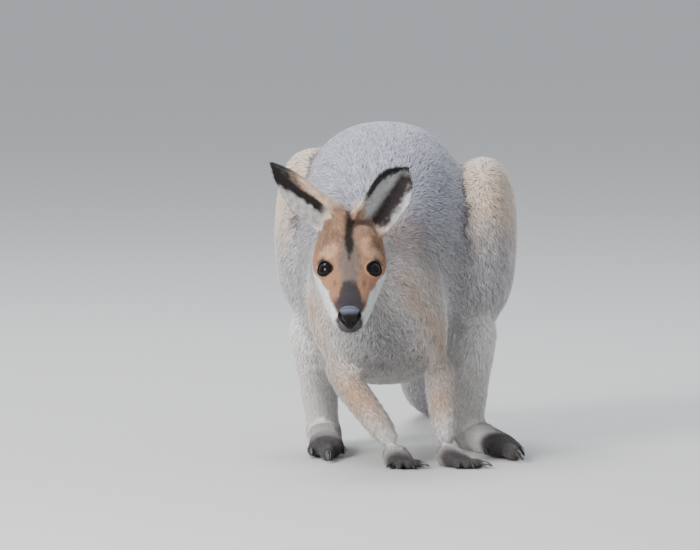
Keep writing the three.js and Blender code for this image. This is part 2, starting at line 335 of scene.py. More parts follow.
def joined_flesh():
    """All flesh nodes as one mesh, each grown a little, with two mounds in each ear's base."""
    shell = bmesh.new()
    for name in FLESH + UNDER_SKIN:
        add_node(shell, name, lambda vertex: vertex.normal * CUT_CLOSE)
    for side in SIDES:
        base, axis, _ = ear_axis(side)
        root = Vector(base - axis * EAR_ROOT_RADIUS * EAR_ROOT_DEPTH)
        inner = head_world(*EAR_INNER_ROOT[side])
        for centre, radius in ((root, EAR_ROOT_RADIUS), (inner, EAR_INNER_RADIUS)):
            place = Matrix.Translation(centre)
            bmesh.ops.create_icosphere(shell, subdivisions=3, radius=radius, matrix=place)
    return mesh_of(shell, "skin")


def outer_body_only(mesh):
    """Deletes the small closed bubbles that the voxels leave inside."""
    with editing(mesh) as body:
        newest = {max(body.verts, key=lambda v: v.co.z)}
        reached = set(newest)
        while newest:
            newest = {edge.other_vert(v) for v in newest for edge in v.link_edges} - reached
            reached |= newest
        lost = [v for v in body.verts if v not in reached]
        bmesh.ops.delete(body, geom=lost, context="VERTS")


def refine(mesh, wanted):
    """Cuts each face whose corners are all wanted into four."""
    keep = set(np.flatnonzero(wanted).tolist())
    with editing(mesh) as body:
        edges = [e for e in body.edges if keep.issuperset(v.index for v in e.verts)]
        bmesh.ops.subdivide_edges(body, edges=edges, cuts=1, use_grid_fill=True)


def smoothing_share(place, parts, net):
    """How much of the smoothing each vertex gets.

    It is more round the elbows and the roots of the ears, and less in the fold beside each haunch
    and at the claws."""
    share = net.spread(by_part(PART_SMOOTH)[parts], 12)
    forearm = net.spread(by_part({"forearm": 1}, 0)[parts], 12)
    body = net.spread(by_part({"forearm": 0, "hand": 0})[parts], 60)
    share = np.maximum(share, ELBOW_SMOOTH * ramp(0.03, 0.5, body) * ramp(0, 0.3, forearm))
    thigh = net.spread(by_part({"thigh": 1}, 0)[parts], 25)
    fold = 4 * thigh * (1 - thigh) * ramp(200 * MM, 250 * MM, place[:, 2])
    share *= 1 - FOLD_KEPT * fold * haunch_front(place)
    for side in SIDES:
        far = np.linalg.norm(place - ear_axis(side)[0], axis=1)
        share = np.maximum(share, EAR_ROOT_SMOOTH * ramp(26 * MM, 12 * MM, far))
    return share * ramp(3 * MM, 15 * MM, claw_distance(place))


def haunch_front(place):
    """1 on the front half of the haunches, with the pale coat, the fold and the fold's painted shade, and
    0 behind it.
    """
    return ramp(-145 * MM, -215 * MM, place[:, 1])


def under_coat(mesh, parts, net):
    """Moves the skin inwards by the coat's depth, and less at the soles and the claws."""
    depth = net.spread(by_part(COAT_DEPTH)[parts], 30) * MM + CUT_CLOSE
    depth *= 0.25 + 0.75 * ramp(1 * MM, 9 * MM, places(mesh)[:, 2])
    depth *= 0.15 + 0.85 * ramp(3 * MM, 15 * MM, claw_distance(places(mesh)))
    inward = net.spread(-normals(mesh) * depth[:, None], 8)
    set_places(mesh, places(mesh) + inward)


def off_head(mesh):
    """1 where the skin may be coarse, and 0 on the head and the ears, which stay finely meshed."""
    _, y, z = head_local(places(mesh)).T
    return 1 - ramp(-14, 4, np.minimum(HEAD_BACK - y, z - HEAD_UNDER))


def thinned(mesh):
    """The skin with fewer faces off the head. It is roughened first and then smoothed, so that
    the decimation thins flat and curved skin alike."""
    coarse = off_head(mesh)
    share = by_part({"hand": 0.2, "foot": 0.2, "ear": 0.2})[nearest_parts(places(mesh))]
    rough = RNG.normal(0, DECIMATE_ROUGH, len(coarse)) * coarse * share
    set_places(mesh, places(mesh) + normals(mesh) * rough[:, None])
    mesh = with_modifier(mesh, "DECIMATE", coarse, ratio=SKIN_KEPT)
    return with_modifier(mesh, "SMOOTH", off_head(mesh), factor=SMOOTH_STEP, iterations=5)


def build_skin():
    """The whole skin, under the coat by its depth, with the face's folds."""
    mesh = with_modifier(joined_flesh(), "REMESH", mode="VOXEL", voxel_size=SKIN_VOXEL)
    outer_body_only(mesh)
    parts = nearest_parts(places(mesh))
    net = Net(mesh)
    share = smoothing_share(places(mesh), parts, net)
    mesh = with_modifier(mesh, "SMOOTH", share, factor=SMOOTH_STEP, iterations=SMOOTH_ROUNDS)
    under_coat(mesh, parts, net)
    mesh = thinned(mesh)
    x, y, z = head_local(places(mesh)).T
    refine(mesh, (y < -25) & (np.abs(x) < FACE_HALF) & (z > FACE_UNDER))
    for _ in range(2):
        refine(mesh, eye_distance(places(mesh)) < EYE_RADIUS * 1.6)
    mesh = with_modifier(mesh, "SMOOTH", near_face(mesh), factor=SMOOTH_STEP, iterations=4)
    set_places(mesh, np.maximum(places(mesh), [-np.inf, -np.inf, SOLE_GAP]))
    sculpt_face(mesh)
    mesh.shade_smooth()
    return mesh


# ---- face ----
# In the head's frame, the box that stays finely meshed, and the face's part of it, in millimetres.
HEAD_BACK = 70
HEAD_UNDER = -42
FACE_HALF = 40
FACE_UNDER = -45
# The middle of the lids' opening, as a direction, and the tilt of its long axis.
LID_TURN = math.radians(41)  # outwards from straight ahead
LID_RISE = math.radians(12)
LID_TILT = math.radians(31)  # the outer corner stands higher
# The opening seen along its middle: directions around it from its outer end, and the half angle there.
LID_AROUND = [-150, -95, -36, -10, 10, 30, 60, 85, 105, 125, 142, 165]
LID_OPENING = [32, 27, 42, 47, 51, 53, 45, 43, 47, 51, 51, 42]
LID_THICK = 1.4 * MM
LID_CREASE = 0.4 * MM  # where a lid meets the brow
LID_RELEASE = (0.35, 1.25)  # past the lids' edge by these angles, the skin goes back to its own shape
SOCKET = 0.86  # the skin inside the opening lies this far out, as a share of the eyeball's radius


def eye_distance(place):
    """Each point's distance from the nearer eye's centre."""
    return np.min([np.linalg.norm(from_eye(place, side), axis=1) for side in SIDES], axis=0)


def near_face(mesh):
    """1 on the muzzle and round the eyes, where the skin is smoothed once more."""
    x, y, z = head_local(places(mesh)).T
    front = ramp(-15, -30, y) * (np.abs(x) < FACE_HALF) * (z > FACE_UNDER)
    return np.maximum(front, ramp(1.9, 1.5, eye_distance(places(mesh)) / EYE_RADIUS))


def eye_frame(side):
    """The lids' axes: along the opening outwards, across it upwards, and out of the eye."""
    out = direction(HEAD_YAW + SIDES[side] * LID_TURN, LID_RISE)
    across = Vector((0, 0, 1)).cross(out).normalized() * SIDES[side]
    up = out.cross(across).normalized()
    up *= 1 if up.z > 0 else -1
    long_axis = across * math.cos(LID_TILT) + up * math.sin(LID_TILT)
    tall_axis = up * math.cos(LID_TILT) - across * math.sin(LID_TILT)
    return np.array([long_axis, tall_axis, out])


def lid_angles(place, side):
    """Each point's distance from an eye's centre, its angle past the lids' edge (negative in the
    opening), and its turn around the opening's middle."""
    away = from_eye(place, side)
    reach = np.linalg.norm(away, axis=1)
    along, across, out = (away @ eye_frame(side).T).T
    around = np.arctan2(across, along)
    off = np.arccos(np.clip(out / np.maximum(reach, 1e-9), -1, 1))
    return reach, off - lid_edge(around), around


def lid_edge(around):
    """The angle from the opening's middle to the lids' edge, in each direction around it."""
    turns = np.degrees(around)[..., None] + np.arange(-16, 17, 4)
    return np.radians(np.interp(turns, LID_AROUND, LID_OPENING, period=360).mean(-1))


# Soft rises and hollows of the face: place in the head's frame, height and radius, in millimetres.
FACE_MOUNDS = [
    ((20, 14, 27), 1.3, 7),  # brow
    ((33, 38, -14), 1.6, 12),  # cheek
    ((34, 18, 4), 2.2, 9),  # temple
    ((12, -58, -11), 1.6, 7),  # upper lip
    ((0, -30, 16), 0.6, 8),  # bridge
    ((0, -64, -24), 0.8, 6),  # chin
]
# The mouth runs back from under the nose along this line of the head's frame, on both sides.
MOUTH_LINE = [
    (0, -76, -14.5), (5, -74, -16), (11, -66, -17.5), (15.5, -54, -18.5), (19, -42, -18), (21, -34, -16)
]
CHIN_NARROWED = 0.24
MOUTH_DEPTH = 1.7
MOUTH_HALF_WIDTH = 1.1
LIP_RISE = 0.5


def line_distance(place, line):
    """Each point's distance to an open line."""
    line = np.array(line, float)
    best = np.full(len(place), np.inf)
    for start, end in zip(line[:-1], line[1:]):
        along = end - start
        share = np.clip((place - start) @ along / (along @ along), 0, 1)
        best = np.minimum(best, np.linalg.norm(place - start - share[:, None] * along, axis=1))
    return best


def mouth_distance(local):
    """Each point's distance to the mouth's line, which is the same on both sides of the head."""
    folded = np.column_stack([np.abs(local[:, 0]), local[:, 1:]])
    return line_distance(folded, MOUTH_LINE)


def face_rise(local):
    """How far the skin stands out for the mounds and the mouth's lips, in millimetres."""
    x, y, z = local.T
    rise = np.zeros(len(x))
    for centre, height, radius in FACE_MOUNDS:
        folded = np.abs(x) if centre[0] else x
        far = (folded - centre[0]) ** 2 + (y - centre[1]) ** 2 + (z - centre[2]) ** 2
        rise += height * np.exp(-far / (2 * radius**2))
    groove = mouth_distance(local)
    return rise - MOUTH_DEPTH * bell(groove, MOUTH_HALF_WIDTH) + LIP_RISE * bell(groove - 3, 1.6)


def sculpt_face(mesh):
    """Lids, sockets, soft mounds and the mouth's groove."""
    place = places(mesh)
    x, y, z = head_local(place).T
    some = np.flatnonzero((np.abs(y + 20) < 90) & (np.abs(x) < 60) & (np.abs(z) < 60))
    local = head_local(place)[some]
    place[some] += normals(mesh)[some] * face_rise(local)[:, None] * MM
    chin = ramp(-46, -74, local[:, 1]) * ramp(-6, -24, local[:, 2])
    inwards = -CHIN_NARROWED * chin * local[:, 0] * MM
    place[some] += inwards[:, None] * np.array(HEAD_TURN.to_3x3())[:, 0]
    for side in SIDES:
        sculpt_lids(place, side)
    set_places(mesh, place)


def sculpt_lids(place, side):
    """Presses the skin inside the opening behind the eyeball and lays the lids over its front."""
    reach, past, around = lid_angles(place, side)
    start, end = LID_RELEASE
    near = np.flatnonzero((reach < EYE_RADIUS * 2.6) & (past < end))
    reach, past, around = reach[near], past[near], around[near]
    upper = ramp(-0.3, 0.6, np.sin(around))
    lid = EYE_RADIUS + LID_THICK * (0.75 + 0.5 * upper)
    socket = EYE_RADIUS * SOCKET
    wanted = socket + (lid - socket) * ramp(-0.05, 0.03, past)
    mound = np.maximum(reach, lid * (1 - 0.1 * past))
    made = wanted + (mound - wanted) * ramp(0.06, 0.5, past)
    made += (np.maximum(reach, EYE_RADIUS + LID_THICK) - made) * ramp(start, end, past)
    made -= LID_CREASE * bell(past - 0.33, 0.08) * (0.4 + 0.6 * upper)
    place[near] = np.array(EYE_CENTRES[side]) + unit(from_eye(place[near], side)) * made[:, None]


# ---- markings ----
def srgb(red, green, blue):
    """A colour given as 0 to 255 screen values, as linear light."""
    value = np.array([red, green, blue]) / 255
    return np.where(value < 0.04045, value / 12.92, ((value + 0.055) / 1.055) ** 2.4)


BLUE_GREY = srgb(165, 166, 177)
FLANK_GREY = srgb(172, 170, 173)
# the chest's own grey, made darker as painted shade under the head and neck
CHEST_GREY_AND_SHADE = srgb(150, 148, 149)
BELLY_PALE = srgb(208, 203, 199)
HAUNCH_PALE = srgb(186, 182, 184)
HAUNCH_CREAM = srgb(218, 194, 172)
ARM_BUFF = srgb(188, 149, 120)
SHANK_PALE = srgb(234, 230, 227)
PAW_DARK = srgb(72, 67, 67)
TAIL_TIP = srgb(84, 80, 82)
# painted shade for the crease between each haunch and the trunk
CREASE_SHADE_DARK = srgb(70, 68, 74)
TAWNY = srgb(168, 124, 95)
BROW_ORANGE = srgb(212, 166, 134)
GRIZZLE = srgb(116, 105, 98)
STRIPE_DARK = srgb(22, 17, 15)
CHEEK_WHITE = srgb(234, 233, 234)
MUZZLE_DARK = srgb(58, 53, 57)
NAPE_TAN = srgb(176, 143, 118)
EAR_TAN = srgb(208, 178, 154)
EAR_BLACK = srgb(22, 18, 17)
EAR_PALE = srgb(214, 211, 209)
EAR_SKIN = srgb(50, 40, 40)
LID_DARK = srgb(13, 10, 11)


def layered(base, layers):
    """A base colour under layers, each of a colour and the share of it at each point."""
    colours = base
    for colour, share in layers:
        share = np.clip(share, 0, 1)[:, None]
        colours = colours * (1 - share) + colour * share
    return colours


def ripple(place, size, seed):
    """Smooth noise from -1 to 1 with features about that many millimetres across."""
    rng = np.random.default_rng(seed)
    total = np.zeros(len(place))
    for _ in range(9):
        wave = unit(rng.normal(size=3)) * 2 * math.pi / (size * 2 * MM) * rng.uniform(0.6, 1.6)
        total += np.sin(place @ wave + rng.uniform(0, 2 * math.pi))
    return np.clip(total / 4, -1, 1)


class Spot:
    """Points on the skin: their places, the way out of the skin there, and each part's share."""

    def __init__(self, place, normal, parts):
        self.place = place
        self.normal = normal
        self.parts = parts
        self.head = head_local(place)

    def of(self, name):
        return self.parts[:, FLESH.index(name)]

    def share(self, kind):
        """The share of one kind of part, left and right together."""
        return sum(self.of(name) for name in FLESH if part_kind(name) == kind)

    def along(self, name, axis):
        """Where each point is from the low end of a node's box to its high end, as 0 to 1."""
        low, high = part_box(name)
        return (self.place[:, axis] - low[axis]) / (high[axis] - low[axis])


TAIL_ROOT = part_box("tail")[0].y


# The buff of each forearm runs on over the shoulder, past these places of the front (x, z).
SHOULDER_BUFF = {
    "left": [(53, 60), (55, 110), (52, 135), (40, 160), (24, 186), (6, 208)],
    "right": [(-62, 60), (-68, 90), (-78, 123), (-86, 151), (-90, 178)],
}


def shoulder_share(spot, width):
    """How close each point lies to the buff lines over the shoulders, within that many millimetres."""
    x, y, z = (spot.place / MM).T
    seen = np.stack([x, z], 1)
    nearest = np.min([line_distance(seen, line) for line in SHOULDER_BUFF.values()], axis=0)
    return bell(nearest, width) * ramp(-320, -360, y)


def body_colours(spot):
    """The coat's colours away from the head. Heights and depths are in millimetres."""
    _, y, z = (spot.place / MM).T
    height = spot.along("trunk", 2)
    blur = ripple(spot.place, 30, 3)
    kinds = ("neck", "trunk", "thigh", "upper_arm", "forearm", "tail")
    neck, trunk, thigh, upper, forearm, tail = (spot.share(kind) for kind in kinds)
    aside = np.abs(spot.normal[:, 0])
    front = haunch_front(spot.place + [[0, 0.012, 0]] * blur[:, None])
    # the thigh's edge next to the trunk, where the crease's painted shade goes
    fold = bell(thigh - 0.5, 0.3) * ramp(0.1, 0.3, trunk)
    facing = ramp(0.1, 0.9, -spot.normal[:, 1])
    buff = (0.55 + 0.25 * blur) * ramp(250, 190, z) * ramp(30, 75, z + 8 * blur)
    layers = [
        (FLANK_GREY, ramp(0.72, 0.4, height + 0.05 * blur)),
        # the lower front of the trunk: partly its own grey, partly painted shade under the head
        (CHEST_GREY_AND_SHADE, ramp(-250, -340, y) * ramp(0.75, 0.45, height)),
        (BELLY_PALE, ramp(0.2, 0.04, height + 0.04 * blur)),
        (NAPE_TAN, 0.55 * neck * ramp(0.0, 0.5, aside + 0.2 * blur)),
        # painted shade: the neck's downward-facing skin is darkened
        (CHEST_GREY_AND_SHADE, neck * ramp(0.1, -0.5, spot.normal[:, 2])),
        (HAUNCH_PALE, 0.9 * thigh * (0.3 + 0.7 * front)),
        (HAUNCH_CREAM, 0.9 * thigh * front * ramp(210, 290, z + 14 * blur)),
        # painted shade in the crease along the front of each haunch, where it meets the trunk
        (CREASE_SHADE_DARK, 0.85 * fold * front * ramp(215, 270, z + 10 * blur)),
        (BELLY_PALE, 0.6 * upper * ramp(190, 130, z + 12 * blur)),
        (BELLY_PALE, 0.9 * forearm),
        (ARM_BUFF, (forearm + 0.8 * upper) * buff * (0.35 + 0.65 * facing)),
        (SHANK_PALE, 0.75 * shoulder_share(spot, 27) * (1 - forearm)),
        (ARM_BUFF, (0.6 + 0.25 * blur) * shoulder_share(spot, 13) * (1 - forearm)),
        (SHANK_PALE, spot.share("shank")),
        (SHANK_PALE, spot.share("foot")),
        (BELLY_PALE, 0.8 * spot.share("hand")),
        (FLANK_GREY, tail * ramp(0.3, -0.4, spot.normal[:, 2])),
        (TAIL_TIP, tail * ramp(0.62, 0.95, spot.along("tail", 1) + 0.03 * blur)),
    ]
    for side in SIDES:
        foot, hand = f"foot_{side}", f"hand_{side}"
        toes = ramp(0.46, 0.26, spot.along(foot, 1) + 0.04 * blur)
        fingers = ramp(0.75, 0.42, spot.along(hand, 1) + 0.05 * blur)
        layers.append((PAW_DARK, toes * ramp(0.3, 0.7, spot.of(foot))))
        layers.append((PAW_DARK, fingers * ramp(0.2, 0.6, spot.of(hand))))
    return layered(BLUE_GREY, layers)


# Down the middle of the face: a place along it, and the dark stripe's half width there.
STRIPE_PLACE = [-4, 6, 14, 22, 32, 42, 50, 66, 90, 108]
STRIPE_HALF = [0.3, 1.6, 3.0, 4.6, 5.2, 4.2, 2.9, 1.9, 1.7, 1.0]
# Along the head's side: a place along it, and the height up to which the cheek is white.
WHITE_PLACE = [-75, -71, -55, -42, -30, -9, 3, 15, 40]
WHITE_TOP = [-1.5, -0.5, 0.7, 2.5, 4.5, 2, -1.5, -5, -10]
# Along the face: a place along it, and the half widths of the grizzle and of the dark bridge there.
GRIZZLE_PLACE, GRIZZLE_HALF = [-36, -22, 0, 16, 30], [5, 9, 13, 11, 8]
BRIDGE_PLACE, BRIDGE_HALF = [-60, -45, -34, -24, -18], [16, 13.5, 10.5, 7, 4]


def eye_layers(spot, side, fine):
    """The dark rim of an eye, with the dark streaks at its outer and its inner corner. The rim's wider
    band over the upper lid and the streak at the upper outer corner are partly the lid's own dark skin and
    partly painted shade under the brow.
    """
    reach, past, around = lid_angles(spot.place, side)
    near = reach < EYE_RADIUS * 1.7
    above = ramp(-0.2, 0.7, np.sin(around))
    long_axis, tall_axis, _ = eye_frame(side)
    corner = unit(tall_axis * 0.2 - long_axis) * 13.5 * MM
    inner = np.linalg.norm(from_eye(spot.place, side) - corner, axis=1)
    streak = bell(around - 0.35, 0.45) * ramp(0.62, 0.35, past + 0.05 * fine)
    return [
        # the bare dark rim; its wider band above is partly painted shade under the brow
        (LID_DARK, near * ramp(0.14 + 0.06 * above, 0.08, past + 0.02 * fine)),
        # the streak at the upper outer corner: partly dark lid skin, partly painted shade under the brow
        (LID_DARK, 0.9 * near * streak),
        (LID_DARK, 0.6 * ramp(5.5 * MM, 1.5 * MM, inner)),
    ]


def face_colours(spot):
    """The head's markings, in its own frame: nose towards -Y, brow up."""
    x, y, z = spot.head.T
    wide = np.abs(x)
    blur = ripple(spot.place, 7, 11)
    fine = ripple(spot.place, 2.5, 13)
    upper = ramp(2, 9, z)
    forehead = ramp(14, 30, y + 3 * blur) * ramp(0, 14, z)
    brow = ramp(15, 5, np.hypot((wide - 22) * 0.9, (y - 16) * 1.2) + 1.5 * blur)
    grizzled = np.interp(y, GRIZZLE_PLACE, GRIZZLE_HALF)
    centre = ramp(grizzled + 4, grizzled - 5, wide + 2.5 * blur) * ramp(42, 20, y)
    line = np.interp(y, WHITE_PLACE, WHITE_TOP)
    muzzle = ramp(-36, -52, y + 3 * blur) * ramp(line - 1, line + 2.5, z)
    half = np.interp(y, BRIDGE_PLACE, BRIDGE_HALF)
    bridge = ramp(half + 1.5, half - 2, wide + fine) * ramp(-20, -31, y + 2 * blur)
    half = np.interp(y, STRIPE_PLACE, STRIPE_HALF)
    stripe = ramp(half + 2.4, half - 1.8, wide + 0.8 * blur + 0.5 * fine)
    stripe *= ramp(-5, 3, y) * ramp(118, 98, y)
    white = ramp(line + 2.0, line - 1.6, z + 0.9 * blur + 0.5 * fine)
    spots = bell(wide - 15.5, 1.9) * bell(y + 25, 4.5)
    layers = [
        (GRIZZLE, forehead * (0.35 + 0.25 * fine + 0.12 * blur)),
        (BROW_ORANGE, 0.95 * brow * upper),
        (NAPE_TAN, ramp(34, 62, y + 3 * blur) * ramp(20, 0, z)),
        (GRIZZLE, (0.9 + 0.2 * fine) * centre * upper),
        (MUZZLE_DARK, 0.92 * muzzle),
        (MUZZLE_DARK, 0.96 * bridge * upper),
        (STRIPE_DARK, 0.95 * stripe * upper),
        # the white runs from the upper lip along the jaw to below the eye
        (CHEEK_WHITE, white * ramp(44, 20, y + 3 * blur)),
        # under the jaw, the throat, round the nose and the chin
        (FLANK_GREY, 0.7 * ramp(-17, -25, z) * ramp(-50, -20, y)),
        (FLANK_GREY, 0.85 * ramp(12, 40, y + 3 * blur) * ramp(4, -12, z)),
        (MUZZLE_DARK, ramp(-58, -65, y + 1.5 * blur) * ramp(-24, -17, z)),
        (GRIZZLE, 0.8 * ramp(-54, -64, y) * ramp(-17, -24, z)),
        (MUZZLE_DARK, 0.6 * spots * upper),
        (MUZZLE_DARK, 0.8 * bell(mouth_distance(spot.head), 1.5)),
    ]
    for side in SIDES:
        layers += eye_layers(spot, side, fine)
    return layered(TAWNY, layers)


EAR_FACING = {"left": (0.4, -0.87, 0.3), "right": (-0.42, -0.75, -0.5)}  # the way each cup opens
EAR_AXES = {side: ear_axis(side) for side in SIDES}
EAR_HALF = 22 * MM


def ear_place(spot, side):
    """Where a point is on an ear: along it from 0 to 1, across it from -1 to 1 towards the head's
    middle, and how far inside the cup."""
    base, axis, length = EAR_AXES[side]
    front = np.array(EAR_FACING[side])
    front = unit(front - axis * (front @ axis))
    across = np.cross(front, axis) * SIDES[side]
    away = spot.place - base
    inside = ramp(-0.1, 0.3, spot.normal @ front)
    return away @ axis / length, away @ across / EAR_HALF, inside


# Across each ear: the middle of its bare skin, where its black band starts, and where its tan back starts.
EAR_BANDS = {"left": (-0.26, 0.95, 1.4), "right": (-0.85, -0.64, -0.1)}
# How much later the black band starts at these places up each ear.
EAR_NARROWS_AT = [0.3, 0.5, 0.7, 0.9, 1]
EAR_NARROWS = {"left": [0, 0.09, 0.33, 0.73, 1.05], "right": [0, 0, 0, 0, 0.2]}
EAR_BARE = {"left": 1.1, "right": 0.5}  # how much of the bare skin shows between the hairs


def ear_colours(spot, side):
    """An ear's colours: the pale cup with its bare skin and black band, and the tan back."""
    share, across, inside = ear_place(spot, side)
    blur = ripple(spot.place, 6, 23)
    fine = ripple(spot.place, 2.5, 29)
    bare_at, black_at, tan_at = EAR_BANDS[side]
    black_at = black_at - np.interp(share, EAR_NARROWS_AT, EAR_NARROWS[side])
    wavy = across + 0.04 * blur + 0.03 * fine
    bare = np.exp(-(np.abs((wavy - bare_at) / 0.47) ** 4))
    bare *= ramp(0.08, 0.26, share) * ramp(1.02, 0.86, share)
    band = ramp(black_at - 0.08, black_at + 0.1, wavy) * ramp(0.12, 0.3, share)
    back = layered(EAR_TAN, [(EAR_BLACK, ramp(0.42, 0.8, share + 0.06 * blur + 0.04 * fine))])
    layers = [
        (EAR_SKIN, EAR_BARE[side] * bare + 0.1 * blur + 0.1 * fine),
        (EAR_BLACK, band),
        (EAR_BLACK, ramp(0.9, 0.98, share)),
        (EAR_TAN, ramp(0.24, 0.12, share + 0.04 * blur) * ramp(-0.9, -0.6, wavy)),
        (back, np.maximum(1 - inside, ramp(tan_at - 0.14, tan_at + 0.14, wavy))),
    ]
    return layered(EAR_PALE, layers)


def coat_colours(spot):
    """The coat's colour at each point of the skin."""
    head = ramp(0.15, 0.85, spot.share("head") + spot.share("ear"))
    layers = [(face_colours(spot), head)]
    for side in SIDES:
        ear = ramp(0.2, 0.8, spot.of(f"ear_{side}"))
        ear *= ramp(0.03, 0.13, ear_place(spot, side)[0])
        layers.append((ear_colours(spot, side), ear))
    return layered(body_colours(spot), layers)


# The way the hair points on each part, before it is laid along the skin.
PART_LIE = {"trunk": (0, 0.86, -0.5), "neck": (0, 0.9, -0.45), "thigh": (0, 0.4, -0.92)}
PART_LIE |= {"upper_arm": (0, -0.1, -1), "tail": (0, 1, -0.1)}
# Parts whose hair runs along their own long axis, and roughly which way it does.
LENGTHWISE = {"shank": (0, 0, -1), "forearm": (0, 0, -1), "foot": (0, -1, 0), "hand": (0, -1, 0)}
HEAD_LIE = np.array(HEAD_TURN.to_3x3() @ Vector((0, 0.95, 0.1)))


def own_axes(place):
    """Points' long, middle and short axis."""
    return np.linalg.svd(place - place.mean(0), full_matrices=False)[2]


def main_axis(name, towards):
    """A node's long axis, pointing towards a direction."""
    axis = own_axes(points_of(name))[0]
    return axis * np.sign(axis @ np.array(towards))


def part_lie(name):
    kind = part_kind(name)
    if kind == "head":
        return HEAD_LIE
    if kind == "ear":
        return EAR_AXES[side_of(name)][1]
    if kind in LENGTHWISE:
        return main_axis(name, LENGTHWISE[kind])
    return unit(np.array(PART_LIE[kind], float))


def along_skin(lie, normal):
    return unit(lie - normal * (lie * normal).sum(1, keepdims=True))


def lie_of_coat(place, normal, parts):
    """Along the skin, the way the hair points at each vertex."""
    tail, trunk = (parts[:, [FLESH.index(name)]] for name in ("tail", "trunk"))
    paws = (parts @ by_part({"foot": 1, "hand": 1}, 0))[:, None]
    slope = ramp(TAIL_ROOT + 0.23, TAIL_ROOT + 0.1, place[:, 1])[:, None]
    back = ramp(0.5, 0.95, normal[:, 2])[:, None] * (1 - tail)
    heels = ramp(0.1, 0.7, normal[:, 1])[:, None]
    lie = parts @ np.array([part_lie(name) for name in FLESH])
    lie = lie + tail * slope * np.array([0, 0, -1.2])
    lie = lie + back * trunk * np.array([0, 0.3, 0.4])
    lie = lie + paws * heels * np.array([0, 0, -1.5])
    for side in SIDES:
        away = from_eye(place, side)
        reach = np.linalg.norm(away, axis=1)[:, None]
        lie = lie + unit(away) * 0.9 * ramp(EYE_RADIUS * 2.0, EYE_RADIUS * 1.1, reach)
    return along_skin(lie, normal)


# ---- coat ----
# Each part's tufts: their length and width in millimetres and how many stand on a square millimetre.
TUFTS = {
    "head": (4.0, 0.36, 1.3),
    "ear": (3.4, 0.42, 1.0),
    "neck": (9.5, 0.85, 0.62),
    "trunk": (8.6, 0.95, 0.375),
    "tail": (8.5, 0.8, 0.25),
    "upper_arm": (9.5, 0.75, 0.5),
    "forearm": (6.5, 0.6, 0.62),
    "hand": (3.6, 0.5, 0.85),
    "thigh": (10.5, 0.95, 0.42),
    "shank": (7.5, 0.65, 0.5),
    "foot": (5.0, 0.6, 0.62),
}
KNEE_AT = 0.38  # the share of a tuft's length where it bends and is widest
ROOT_LIFT = math.radians(25)
TIP_LIFT = math.radians(11)
TUFT_SUNK = 0.12
RIDGE_RISE = 0.8  # how far a tuft's ridge stands up, as a share of its half width
LOWEST_HAIR = 0.3 * MM
FLECKED = 0.16  # share of the tufts
PALE_FLECK = 0.38  # how much lighter and darker the odd tufts are that grizzle the coat
DARK_FLECK = 0.3
OWN_NORMAL = 0.45  # how far a tuft's shading leaves that of the skin under it
PATCH = 0.0015  # half of the size of a tuft's patch in the baked map
MAP_MARGIN = 0.02  # left free at each side of the map
COAT_FACES = np.array([(1, 2, 0), (3, 1, 0), (2, 3, 0), (2, 1, 4), (1, 3, 4), (3, 2, 4)])
PATCH_CORNERS = np.array([(-1, 0), (0, -1), (0, 1), (0.2, 0), (1, 0)]) * PATCH


class Skin:
    """The finished skin's triangles and what is known at its vertices."""

    def __init__(self, mesh):
        self.corners = triangles(mesh)
        self.place = places(mesh)
        net = Net(mesh)
        self.normal = unit(net.spread(normals(mesh), 2))
        nearest = nearest_parts(self.place)
        self.parts = net.spread(np.eye(len(FLESH))[nearest], 7)
        lie = net.spread(lie_of_coat(self.place, self.normal, self.parts), 10)
        self.lie = along_skin(lie, self.normal)
        self.area = triangle_areas(self.place, self.corners) / MM**2
        self.part = nearest[self.corners[:, 0]]

    def faces_of(self, part, coat):
        """The triangles of a part, or one side's half of the trunk where the coat's name has a side."""
        chosen = self.part == FLESH.index(part)
        if part == "trunk":
            trunk = self.parts[:, FLESH.index("trunk")] > 0.5
            spine = float(np.median(self.place[trunk, 0]))
            chosen &= (self.place[self.corners[:, 0], 0] - spine) * SIDES[side_of(coat)] >= 0
        return chosen

    def roots(self, chosen, density, rng):
        """Random places on the chosen triangles: the triangle and the three corners' shares of each."""
        weight = np.where(chosen, self.area * density, 0)
        count = int(weight.sum())
        steps = (np.arange(count) + rng.random(count)) / count * weight.sum()
        face = np.searchsorted(np.cumsum(weight), steps).clip(0, len(weight) - 1)
        u, v = random_shares(rng, count)
        return face, np.stack([1 - u - v, u, v], 1)

    def at(self, values, face, shares):
        return (values[self.corners[face]] * shares[:, :, None]).sum(1)

    def spot(self, face, shares):
        place, normal, parts = (self.at(v, face, shares) for v in (self.place, self.normal, self.parts))
        return Spot(place, unit(normal), parts)


def chart(spot, name):
    """Each root's place on an unwrap of its part: the angle around the part's long axis, and along it."""
    place = points_of(name)
    axes = own_axes(place)
    away = spot.place - place.mean(0)
    around = np.arctan2(away @ axes[2], away @ axes[1]) / (2 * math.pi) + 0.5
    if part_kind(name) == "ear":
        inside = ear_place(spot, side_of(name))[2]
        around = (around + (inside > 0.5)) / 2
    along = away @ axes[0]
    return np.stack([around, (along - along.min()) / np.ptp(along)], 1)


def coat_length(spot, part):
    """How long the hair is at each root, as a share of its part's usual length."""
    kind = part_kind(part)
    _, y, z = spot.head.T
    if kind == "head":
        share = np.interp(y, [-70, -45, -10, 40, 80], [0.42, 0.5, 0.8, 1.15, 1.5])
        share *= 1 + 0.5 * ramp(-6, -16, z) * ramp(-50, -20, y)
        close = ramp(EYE_RADIUS * 1.9, EYE_RADIUS * 1.2, eye_distance(spot.place))
        return share * (1 - 0.55 * close)
    if kind == "ear":
        _, across, inside = ear_place(spot, side_of(part))
        return 1 + 0.9 * inside * ramp(0.3, 0.7, across)
    if kind == "hand":
        return np.interp(spot.along(part, 1), [0, 0.6, 1], [0.8, 1.0, 2.2])
    if kind == "foot":
        low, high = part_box(part)
        return np.interp(spot.place[:, 1], [low.y, low.y + 0.07, high.y], [0.55, 0.75, 1.5])
    if kind == "shank":
        return np.interp(spot.place[:, 2], [0.03, 0.14], [0.75, 1.35])
    return np.ones(len(y))


